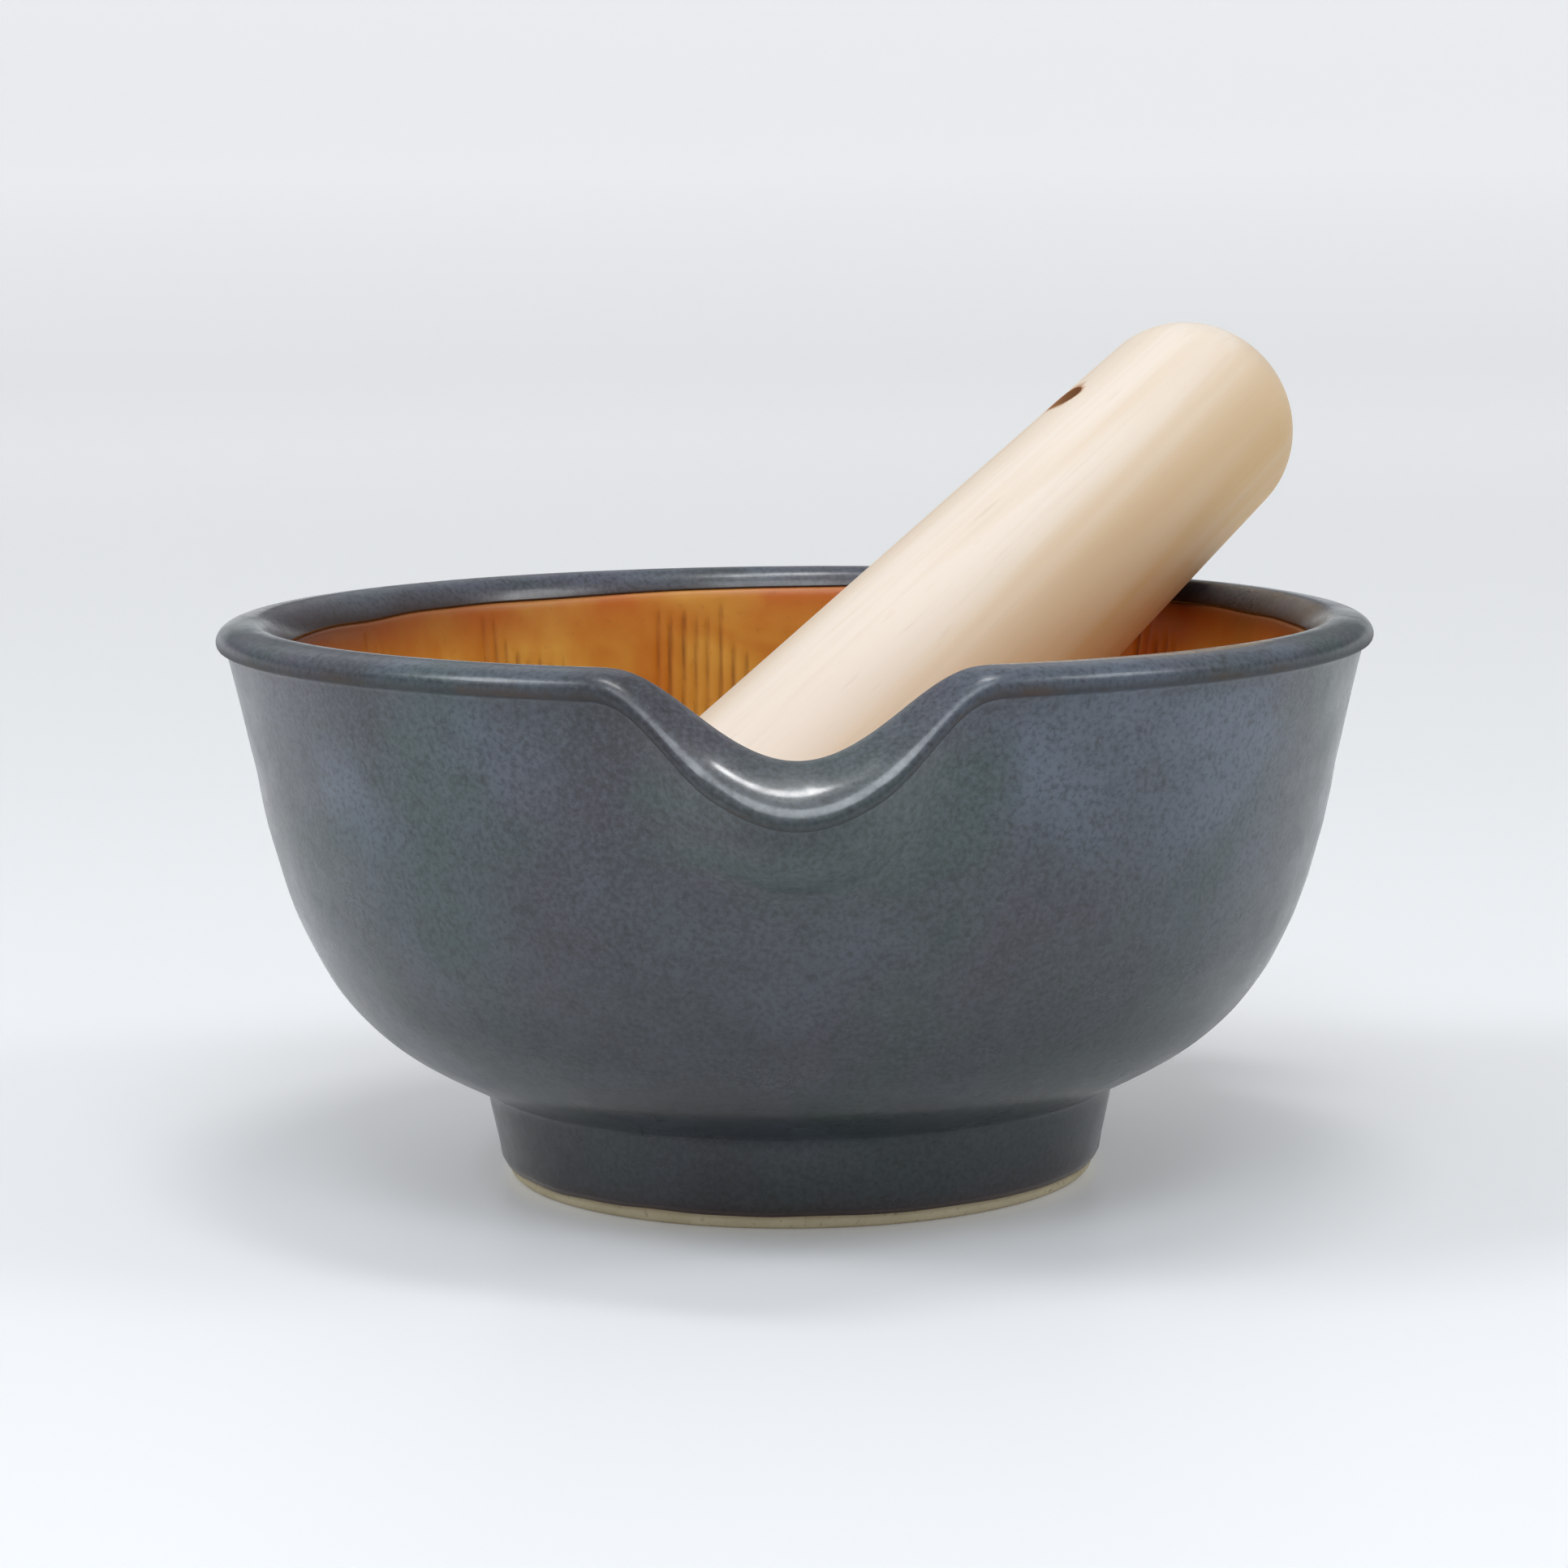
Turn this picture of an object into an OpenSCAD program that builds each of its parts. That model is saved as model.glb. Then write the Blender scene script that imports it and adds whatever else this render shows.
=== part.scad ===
// Grooved grinding bowl with a pressed pouring spout, and the wooden pestle that leans in it.
// Millimetres, +Z up. The origin is the centre of the foot ring on the surface it stands on,
// and the spout points along -Y.
// The bowl is one fired piece: a stoneware body under two glazes. Its sections are turned
// outlines of [radius, height] points, swept round the axis, and the spout pushes them out and down.

/* [Bowl] */
// Outer diameter of the rim
rim_d = 150; // [146:1:156]
// Height of the rim's crest above the table
bowl_h = 73.3; // [72:0.1:76]
// Width of the rim, from its outer edge to its inner edge
rim_w = 7.5; // [6.5:0.1:8.5]
// Height inside, from the table to the middle of the bowl's floor
floor_z = 16; // [14:0.5:18]
// Thickness of each glaze
glaze_t = 0.8; // [0.6:0.1:1]

/* [Foot ring] */
// Diameter of the foot ring near the table
foot_d = 78.8; // [74:0.2:82]
// Height of the crease where the foot ring meets the bowl
foot_h = 12.4; // [11:0.2:13]
// Radial width of the face that stands on the table
foot_face_w = 5; // [4:0.5:8]
// Depth of the hollow under the bowl
recess_depth = 7; // [4:0.5:8]
// Height of the bare clay band below the glaze
bare_band_h = 1.8; // [1.4:0.1:3]

/* [Spout] */
// Half of the spout's opening, as an angle round the rim
spout_half_angle = 17.5; // [14:0.5:22]
// How far the spout's inner edge dips below the rim
spout_dip = 8.8; // [6:0.2:12]
// How much further the outer edge of the lip dips
spout_roll = 5.8; // [2:0.2:7]
// How far the lip reaches out past the rim
spout_reach = 6; // [3:0.5:8]
// Height where the spout starts to leave the bowl's wall
spout_root_z = 38; // [32:1:44]

/* [Pestle] */
// Length of the pestle
pestle_len = 150; // [144:1:156]
// Diameter near the grip end
grip_d = 29.4; // [27:0.2:30]
// Diameter near the grinding end
head_d = 36.2; // [32:0.2:37]
// Length of each rounded end
dome_len = 13.5; // [10:0.5:14]
// Diameter of the hanging hole
hole_d = 5.5; // [4:0.5:7]
// Distance of the hanging hole from the grip end
hole_from_end = 30; // [24:1:36]

/* [Pestle pose] */
// Tilt of the pestle above the horizontal
lean = 28.7; // [28:0.1:34]
// Direction that the pestle leans in, counted from +X towards +Y
lean_heading = 47; // [40:1:55]
// Turn of the pestle about its own axis, which aims the hanging hole
pestle_turn = 160; // [-180:1:180]
// Middle of the grinding end's tip
head_tip = [-25.4, -37.1, 28.5];

/* [Hidden] */

rim_r = rim_d / 2;
rim_in = rim_r - rim_w;
foot_r = foot_d / 2;
foot_top_r = foot_r + 1.8;
wall_top_z = 54;
lip_z = bowl_h - 2.3;
spout_full_z = bowl_h - 7.3;
glaze_line = [rim_in - 1.1, bowl_h - 4.3];
axis_gap = 1.5;
turned_fn = 96;

// Angles of the swept sections, from -Y towards +X: close together at the spout.
spout_fan = 24;
section_angles = concat(
    [for (i = [0 : 16]) -spout_fan + i * 3],
    [for (i = [1 : 8]) spout_fan + i * (90 - spout_fan) / 8],
    [for (i = [1 : 22]) 90 + i * 90 / 11],
    [for (i = [1 : 7]) 270 + i * (90 - spout_fan) / 8]
);

// ---- curves ----
function bezier(p0, p1, p2, p3, n) = [
    for (i = [0 : n])
        let (t = i / n, s = 1 - t)
        s * s * s * p0 + 3 * s * s * t * p1 + 3 * s * t * t * p2 + t * t * t * p3
];
function drop_first(list) = [for (i = [1 : len(list) - 1]) list[i]];
function reversed(list) = [for (i = [len(list) - 1 : -1 : 0]) list[i]];
function unit(v) = v / norm(v);

// An open outline moved sideways to its left by d, with d tapered to nothing at ends marked 0.
function offset_outline(list, d, first, last) = [
    for (i = [0 : len(list) - 1])
        let (
            a = list[max(i - 1, 0)],
            b = list[min(i + 1, len(list) - 1)],
            dir = unit(b - a),
            share = i == 0 ? first : i == len(list) - 1 ? last : 1
        )
        list[i] + d * share * [-dir[1], dir[0]]
];

// ---- outlines, each from the foot upwards ----
// Outside of the dark glaze: foot ring, belly, flare, and over the rim to the glaze line inside.
foot_side = [
    [foot_r, bare_band_h],
    [foot_r + 0.3, bare_band_h + 2.5],
    [foot_top_r - 0.2, foot_h - 2.2],
    [foot_top_r + 0.2, foot_h - 0.6]
];
belly = bezier([foot_top_r + 1, foot_h], [52, 18], [64.5, 20.7], [rim_r - 4.9, wall_top_z], 12);
flare = bezier([rim_r - 4.9, wall_top_z], [rim_r - 3.4, 61], [rim_r - 2, 66], [rim_r - 0.5, lip_z - 1], 4);
lip_corner = bezier([rim_r - 0.5, lip_z - 1], [rim_r + 0.33, lip_z], [rim_r + 0.33, lip_z + 1.1],
    [rim_r - 2, lip_z + 1.9], 4);
rim_crown = bezier([rim_r - 2, lip_z + 1.9], [rim_r - 3.8, bowl_h + 0.15], [rim_in + 0.4, bowl_h + 0.1],
    glaze_line, 5);
dark_outside = concat(foot_side, belly, drop_first(flare), drop_first(lip_corner), drop_first(rim_crown));
clay_outside = offset_outline(dark_outside, glaze_t, 0.4, 0.9);

// Surface of the amber glaze inside, from the middle of the floor up to the glaze line.
amber_inside = concat(
    bezier([axis_gap, floor_z], [42, floor_z - 1], [60.5, 22], [rim_in - 3.3, wall_top_z], 14),
    [[rim_in - 2.2, wall_top_z + 8], glaze_line]
);
clay_inside = offset_outline(amber_inside, -glaze_t, 1, 0);

// Under the foot ring, from the middle of the hollow out to the bare band. The turned face that
// stands on the table is added below it.
recess_r = foot_r - foot_face_w - 1;
foot_face_h = 0.4;
underside = [
    [axis_gap, recess_depth],
    [recess_r - 4, recess_depth],
    [recess_r - 1, recess_depth - 1],
    [recess_r, recess_depth - 3.5],
    [recess_r + 0.2, 1],
    [recess_r + 0.6, foot_face_h],
    [foot_r - 0.9, foot_face_h]
];
foot_face_in = recess_r + 1;
foot_face_out = foot_r - 1.3;
foot_face_edge = 0.3;
foot_face_root = 1.2;
foot_face_outline = [
    [foot_face_in + foot_face_edge, 0],
    [foot_face_out - foot_face_edge, 0],
    [foot_face_out, foot_face_edge],
    [foot_face_out, foot_face_root],
    [foot_face_in, foot_face_root],
    [foot_face_in, foot_face_edge]
];

// ---- spout ----
function clamp01(x) = min(max(x, 0), 1);
function smooth(x) = let (c = clamp01(x)) c * c * (3 - 2 * c);
function turned(a) = a > 180 ? a - 360 : a;

// 1 at the middle of the spout, falling to 0 at its sides.
function spout_bell(a) = abs(a) >= spout_half_angle ? 0 : 0.5 + 0.5 * cos(180 * a / spout_half_angle);
// The lip's outer edge stays low over a wider stretch.
function spout_plateau(a) = 1 - smooth((abs(a) - 0.4 * spout_half_angle) / (0.7 * spout_half_angle));

// Where an outline's point [radius, height] goes in the section at angle a.
function placed(p, a0) =
    let (
        a = turned(a0),
        up = smooth((p[1] - spout_root_z) / (spout_full_z - spout_root_z)),
        across = clamp01((p[0] - rim_in) / rim_w),
        drop = up * (spout_dip * spout_bell(a) + spout_roll * across * spout_plateau(a)),
        out = up * up * spout_reach * spout_bell(a) * (0.6 + 0.4 * across),
        r = p[0] + out
    )
    [r * sin(a), -r * cos(a), p[1] - drop];

// ---- sweeping ----
// Whether an outline's point q is above p, or further out at the same height.
function rises(p, q) = q[1] == p[1] ? q[0] > p[0] : q[1] > p[1];

// A closed outline swept round the axis. With capped, its first and last points are next to the
// axis, and a flat disc closes the solid at each. Each wall panel is split from its near low corner
// to its far high one, whichever way the outline runs, so that solids that share a stretch of
// outline touch face to face.
module swept(outline, capped) {
    n = len(outline);
    m = len(section_angles);
    last = capped ? n - 2 : n - 1;
    points = [for (a = section_angles, p = outline) placed(p, a)];
    walls = [
        for (j = [0 : m - 1], i = [0 : last])
            let (
                k = (j + 1) % m,
                h = (i + 1) % n,
                near = j * n + i,
                near_next = j * n + h,
                far = k * n + i,
                far_next = k * n + h
            )
            each rises(outline[i], outline[h])
                ? [[near, near_next, far_next], [near, far_next, far]]
                : [[near, near_next, far], [near_next, far_next, far]]
    ];
    discs = [
        [for (j = [0 : m - 1]) j * n],
        [for (j = [m - 1 : -1 : 0]) j * n + n - 1]
    ];
    polyhedron(points, capped ? concat(walls, discs) : walls, convexity = 8);
}

// ---- pestle ----
// Radius of the pestle's straight taper at distance t from the grinding end.
function taper_r(t) = (head_d + (grip_d - head_d) * t / pestle_len) / 2;
dome_steps = 10;
pestle_outline = concat(
    [[0, 0]],
    [for (i = [1 : dome_steps])
        let (a = 90 * i / dome_steps, t = dome_len * (1 - cos(a)))
        [taper_r(t) * sin(a), t]],
    [for (i = [dome_steps : -1 : 1])
        let (a = 90 * i / dome_steps, t = pestle_len - dome_len * (1 - cos(a)))
        [taper_r(t) * sin(a), t]],
    [[0, pestle_len]]
);

module stoneware_body() {
    color([0.86, 0.80, 0.68])
        union() {
            swept(concat(underside, clay_outside, reversed(clay_inside)), true);
            rotate_extrude($fn = turned_fn)
                polygon(foot_face_outline);
        }
}

module outer_glaze() {
    color([0.30, 0.33, 0.37])
        swept(concat(dark_outside, reversed(clay_outside)), false);
}

module inner_glaze() {
    color([0.78, 0.47, 0.16])
        swept(concat(clay_inside, drop_first(reversed(amber_inside))), true);
}

module pestle() {
    color([0.91, 0.83, 0.72])
        translate(head_tip)
        rotate([0, 90 - lean, lean_heading])
        rotate([0, 0, pestle_turn])
        difference() {
            rotate_extrude($fn = turned_fn)
                polygon(pestle_outline);
            translate([0, 0, pestle_len - hole_from_end])
                rotate([0, 90, 0])
                cylinder(d = hole_d, h = 2 * grip_d, center = true, $fn = 48);
        }
}

stoneware_body();
outer_glaze();
inner_glaze();
pestle();
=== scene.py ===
"""The looks of the grinding bowl and its pestle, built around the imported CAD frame.

Sizes below are in millimetres and match the CAD outlines; meshes are made in metres.
The bowl's sections are outlines of (radius, height) points swept round the Z axis, and the
spout pushes them out and down at -Y.
"""

import math

import bmesh
import bpy
import numpy as np
from mathutils import Matrix, Vector


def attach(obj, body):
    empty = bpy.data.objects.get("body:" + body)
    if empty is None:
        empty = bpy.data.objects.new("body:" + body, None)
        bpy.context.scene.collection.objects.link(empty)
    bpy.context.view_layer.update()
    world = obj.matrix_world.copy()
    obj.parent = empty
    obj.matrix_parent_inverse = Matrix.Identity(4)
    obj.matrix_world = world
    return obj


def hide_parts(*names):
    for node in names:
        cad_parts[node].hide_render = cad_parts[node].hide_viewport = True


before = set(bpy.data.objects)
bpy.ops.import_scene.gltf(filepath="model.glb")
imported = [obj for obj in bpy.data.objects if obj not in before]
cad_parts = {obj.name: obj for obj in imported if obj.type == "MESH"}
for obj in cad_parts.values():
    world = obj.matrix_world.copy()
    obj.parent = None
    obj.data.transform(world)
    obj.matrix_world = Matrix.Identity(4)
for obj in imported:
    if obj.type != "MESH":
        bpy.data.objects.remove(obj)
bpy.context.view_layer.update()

MM = 0.001

# ---- sizes, as in the CAD ----
RIM_R = 75.0
BOWL_H = 73.3
RIM_W = 7.5
RIM_IN = RIM_R - RIM_W
LIP_Z = BOWL_H - 2.3
WALL_TOP_Z = 54.0
FLOOR_Z = 16.0
GLAZE_T = 0.8
FOOT_R = 39.4
FOOT_TOP_R = FOOT_R + 1.8
FOOT_H = 12.4
BARE_BAND_H = 1.8
FOOT_FACE_W = 5.0
RECESS_DEPTH = 7.0
AXIS_GAP = 0.3

SPOUT_HALF_ANGLE = 17.5
SPOUT_DIP = 8.8
SPOUT_ROLL = 5.8
SPOUT_REACH = 6.0
SPOUT_ROOT_Z = 38.0
SPOUT_FULL_Z = BOWL_H - 7.3

PESTLE_LEN = 150.0
GRIP_R = 14.7
HEAD_R = 18.1
DOME_LEN = 13.5
HOLE_R = 2.75
HOLE_FROM_END = 30.0
LEAN = 28.7
LEAN_HEADING = 47.0
PESTLE_TURN = 160.0
HEAD_TIP = (-25.4, -37.1, 28.5)

# ---- made by hand: how far the bowl is from level and round, and the pestle from smooth ----
RIM_TILT = 0.35
RIM_TILT_TURN = 70.0
OVAL_DEPTH = 0.06
THROWING_RING_DEPTH = 0.05
THROWING_RING_PHASE_PER_MM = 0.55
TURNING_DEPTH = 0.03

# ---- how far the hidden sides sink into the clay, and the pestle stays inside the CAD's ----
DARK_SINK = 0.12
AMBER_SINK = 0.1
PESTLE_INSET = 0.02

# ---- the combed grooves ----
COMB_STROKES = 16
COMB_TEETH = 8
FIRST_STROKE = -166.5
TOOTH_PITCH = 1.85
GROOVE_DEPTH = 0.42
GROOVE_HALF_W = 0.34


# ---------------------------------------------------------------- curves
def bezier(p0, p1, p2, p3, n):
    t = np.linspace(0, 1, n + 1)[:, None]
    s = 1 - t
    p0, p1, p2, p3 = (np.array(p, float) for p in (p0, p1, p2, p3))
    return s**3 * p0 + 3 * s * s * t * p1 + 3 * s * t * t * p2 + t**3 * p3


def joined(*parts):
    """Outlines joined end to end, without the points they share."""
    points = [np.asarray(parts[0], float)]
    for part in parts[1:]:
        part = np.asarray(part, float)
        shared = np.allclose(part[0], points[-1][-1], atol=1e-6)
        points.append(part[1:] if shared else part)
    return np.concatenate(points)


def lengths(outline):
    steps = np.linalg.norm(np.diff(outline, axis=0), axis=1)
    return np.concatenate([[0], np.cumsum(steps)])


def along(outline, at):
    """Points of an outline at the given lengths along it."""
    s = lengths(outline)
    return np.stack([np.interp(at, s, outline[:, k]) for k in range(2)], -1)


def resampled(outline, step):
    total = lengths(outline)[-1]
    return along(outline, np.linspace(0, total, max(2, round(total / step)) + 1))


def offset_left(outline, d):
    """An outline moved to its left by d, a number or one value a point."""
    before = np.concatenate([outline[:1], outline[:-1]])
    after = np.concatenate([outline[1:], outline[-1:]])
    way = after - before
    way /= np.linalg.norm(way, axis=1)[:, None]
    return outline + np.asarray(d)[..., None] * np.stack([-way[:, 1], way[:, 0]], -1)


def smooth(x):
    c = np.clip(x, 0, 1)
    return c * c * (3 - 2 * c)


# ---------------------------------------------------------------- outlines
def outside_outline(sharp_lip):
    """The dark glaze's surface, from its lower edge on the foot to the crest of the rim, in two
    stretches. A sharp lip overhangs the wall below it."""
    foot_side = [
        (FOOT_R - 0.35, BARE_BAND_H),
        (FOOT_R - 0.05, BARE_BAND_H + 0.35),
        (FOOT_R + 0.12, BARE_BAND_H + 1.0),
        (FOOT_R + 0.35, BARE_BAND_H + 2.6),
        (FOOT_TOP_R - 0.3, FOOT_H - 2.6),
    ]
    crease = bezier(
        (FOOT_TOP_R - 0.3, FOOT_H - 2.6), (FOOT_TOP_R, FOOT_H - 0.5),
        (FOOT_TOP_R + 0.1, FOOT_H - 0.2), (FOOT_TOP_R + 1.6, FOOT_H + 0.25), 10,
    )
    belly = bezier(
        (FOOT_TOP_R + 1.6, FOOT_H + 0.25), (52, 18), (64.5, 20.7), (RIM_R - 4.9, WALL_TOP_Z), 60
    )
    tuck_r = RIM_R - (1.9 if sharp_lip else 1.5)
    roll_r = RIM_R - (1.0 if sharp_lip else 0.8)
    flare = bezier(
        (RIM_R - 4.9, WALL_TOP_Z), (RIM_R - 3.6, 60.5), (tuck_r - 0.85, 65.5),
        (tuck_r, LIP_Z - 2.1), 24,
    )
    tuck = bezier(
        (tuck_r, LIP_Z - 2.1), (tuck_r + 0.15, LIP_Z - 1.5), (tuck_r + 0.2, LIP_Z - 1.3),
        (roll_r, LIP_Z - 1.2), 8,
    )
    lip = bezier(
        (roll_r, LIP_Z - 1.2), (roll_r + 0.9, LIP_Z - 1.1), (RIM_R + 0.5, LIP_Z + 0.9),
        (RIM_R - 2, LIP_Z + 1.9), 20,
    )
    crown = bezier(
        (RIM_R - 2, LIP_Z + 1.9), (RIM_R - 3.2, BOWL_H - 0.05), (RIM_R - 4.2, BOWL_H),
        (RIM_R - 5, BOWL_H - 0.05), 10,
    )
    return [joined(foot_side, crease, belly), joined(flare, tuck, lip, crown)]


def inside_outline():
    """The surface inside, from the crest of the rim down to the middle of the floor."""
    roll = bezier(
        (RIM_R - 5, BOWL_H - 0.05), (RIM_IN + 1.2, BOWL_H - 0.2), (RIM_IN - 0.3, BOWL_H - 1.6),
        (RIM_IN - 1.1, BOWL_H - 4.3), 20,
    )
    wall = bezier(
        (RIM_IN - 1.1, BOWL_H - 4.3), (RIM_IN - 1.9, BOWL_H - 8), (RIM_IN - 2.6, WALL_TOP_Z + 5),
        (RIM_IN - 3.3, WALL_TOP_Z), 20,
    )
    floor = bezier(
        (RIM_IN - 3.3, WALL_TOP_Z), (60.5, 22), (42, FLOOR_Z - 1), (AXIS_GAP, FLOOR_Z), 90
    )
    return joined(roll, wall, floor)


def under_outline():
    """Bare clay: from the middle of the hollow under the bowl out to the glaze's lower edge."""
    recess_r = FOOT_R - FOOT_FACE_W - 1
    hollow = [(AXIS_GAP, RECESS_DEPTH), (recess_r - 5, RECESS_DEPTH)]
    corner = bezier(
        (recess_r - 5, RECESS_DEPTH), (recess_r - 1.5, RECESS_DEPTH),
        (recess_r - 0.3, RECESS_DEPTH - 2), (recess_r, RECESS_DEPTH - 4), 8,
    )
    inner_edge = bezier(
        (recess_r, RECESS_DEPTH - 4), (recess_r + 0.1, 1), (recess_r + 0.3, 0),
        (recess_r + 1.6, 0), 8,
    )
    outer_edge = bezier(
        (FOOT_R - 2.4, 0), (FOOT_R - 1.2, 0),
        (FOOT_R - 0.85, 0.5), (FOOT_R - 0.7, BARE_BAND_H + 0.4), 8,
    )
    return joined(hollow, corner, inner_edge, outer_edge)


# ---------------------------------------------------------------- sweeping
def spout_bell(angle):
    """1 in the middle of the spout, falling smoothly to 0 at its sides. angle is -180 to 180."""
    bell = 0.5 + 0.5 * np.cos(np.pi * angle / SPOUT_HALF_ANGLE)
    return np.where(np.abs(angle) < SPOUT_HALF_ANGLE, bell, 0)


def placed(radius, height, angle):
    """Where outline points go, in mm. angle is in degrees from -Y towards +X."""
    up = smooth((height - SPOUT_ROOT_Z) / (SPOUT_FULL_Z - SPOUT_ROOT_Z))
    across = np.clip((radius - RIM_IN) / RIM_W, 0, 1)
    a = (angle + 180) % 360 - 180
    bell = spout_bell(a)
    plateau = 1 - smooth((np.abs(a) / SPOUT_HALF_ANGLE - 0.4) / 0.7)
    drop = up * (SPOUT_DIP * bell + SPOUT_ROLL * across * plateau)
    r = radius + up * up * SPOUT_REACH * bell * (0.6 + 0.4 * across)
    t = np.radians(a)
    # thrown by hand: the rim is not quite level
    lift = RIM_TILT * smooth((height - 45) / 25) * np.cos(t + math.radians(RIM_TILT_TURN))
    return np.stack([r * np.sin(t), -r * np.cos(t), height - drop + lift], -1)


def grid_mesh(name, points, closed_outline, facts=None):
    """A mesh from points (columns round the axis, rows along the outline, 3), in mm.

    The outline runs upwards on the outside, so that the faces point outwards. An open outline
    starts and ends beside the axis, and a disc closes each end.
    facts maps attribute names to one number for each point."""
    m, n = points.shape[:2]
    last = n if closed_outline else n - 1
    j, i = np.meshgrid(np.arange(m), np.arange(last), indexing="ij")
    k, h = (j + 1) % m, (i + 1) % n
    quads = np.stack([j * n + i, k * n + i, k * n + h, j * n + h], -1).reshape(-1, 4)
    faces = quads.tolist()
    if not closed_outline:
        faces.append([c * n for c in range(m - 1, -1, -1)])
        faces.append([c * n + n - 1 for c in range(m)])
    mesh = bpy.data.meshes.new(name)
    mesh.from_pydata((points.reshape(-1, 3) * MM).tolist(), [], faces)
    mesh.polygons.foreach_set("use_smooth", [True] * len(mesh.polygons))
    for key, values in (facts or {}).items():
        layer = mesh.attributes.new(key, "FLOAT", "POINT")
        layer.data.foreach_set("value", np.asarray(values, np.float32).ravel())
    mesh.update()
    obj = bpy.data.objects.new(name, mesh)
    bpy.context.scene.collection.objects.link(obj)
    return obj


def wave(angle, seed, low=1, high=7):
    """A smooth wavy value round the axis, about -1 to 1."""
    rng = np.random.default_rng(seed)
    total = np.zeros_like(angle, dtype=float)
    for k in range(low, high + 1):
        size = rng.normal() / math.sqrt(k)
        start = rng.uniform(0, 2 * math.pi)
        total += size * np.cos(np.radians(k * angle) + start)
    return total / 2


# ---------------------------------------------------------------- bowl pieces
GLAZE_LINE = 5.2  # length from the crest, down the inside, to where the amber glaze begins
GLAZE_LINE_TILT = 1.0
GLAZE_LINE_TURN = 150.0


def glaze_line(angle):
    """Where the two glazes meet, as a length down the inside from the crest."""
    tilt = -GLAZE_LINE_TILT * np.cos(np.radians(angle - GLAZE_LINE_TURN))
    return GLAZE_LINE + tilt + 0.25 * wave(angle, 11, 2, 6) + 0.22 * wave(angle, 12, 8, 30)


def outside_at(angle, wall_step, lip_step):
    """The outside's outline for each column: the lip is sharper round the spout."""
    low, soft = outside_outline(False)
    sharp = outside_outline(True)[1]
    wall = resampled(low, wall_step)
    rows = round(lengths(soft)[-1] / lip_step)
    share = np.linspace(0, 1, rows + 1)[1:]
    soft = along(soft, share * lengths(soft)[-1])
    sharp = along(sharp, share * lengths(sharp)[-1])
    a = np.abs((angle + 180) % 360 - 180)
    # fully sharp up to 16 degrees from the spout's middle, least sharp from 38 degrees on
    how_sharp = (0.35 + 0.65 * (1 - smooth((a - 16) / 22)))[:, None, None]
    top = soft * (1 - how_sharp) + sharp * how_sharp
    all_round = np.concatenate([np.tile(wall, (len(angle), 1, 1)), top], 1)
    # the lower edge of the glaze on the foot is wavy
    near_edge = np.exp(-lengths(wall) / 2.5)
    wavy = 0.12 + 0.16 * wave(angle, 31, 1, 4) + 0.10 * wave(angle, 32, 6, 24)
    all_round[:, : len(wall), 1] += wavy[:, None] * near_edge
    return all_round


def columns_round(step, spout_step):
    """Angles of the sections, closer together round the spout."""
    wide = SPOUT_HALF_ANGLE * 1.5
    front = np.arange(-wide, wide, spout_step)
    rest = np.linspace(wide, 360 - wide, round((360 - 2 * wide) / step) + 1)[:-1]
    return np.concatenate([front, rest])


def side_shade_weight(angle):
    """How much painted shade the glazes get at the bowl's left and right sides, seen from the spout:
    more at the sides than at the back.
    """
    across = np.sin(np.radians(angle))
    return np.clip(across**2 - 0.15 * across + 0.25 * wave(angle, 41, 2, 9), 0, 1)


def make_clay():
    """The clay ends a few rows short of the crest, where the glaze covers it."""
    crest_rows = 4
    columns = columns_round(step=2.0, spout_step=1.0)
    outside = outside_at(columns, wall_step=1.8, lip_step=0.8)
    inside = resampled(inside_outline(), step=1.6)
    under = resampled(under_outline(), step=0.6)
    core_in = offset_left(inside, np.full(len(inside), GLAZE_T))[crest_rows:]
    core_out = np.stack([offset_left(one, np.full(len(one), GLAZE_T)) for one in outside])
    core_out = core_out[:, 1:-crest_rows]
    around = (len(columns), 1, 1)
    outline = np.concatenate([np.tile(under, around), core_out, np.tile(core_in, around)], 1)
    points = placed(outline[..., 0], outline[..., 1], columns[:, None])
    return grid_mesh("clay_body", points, False)


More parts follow.
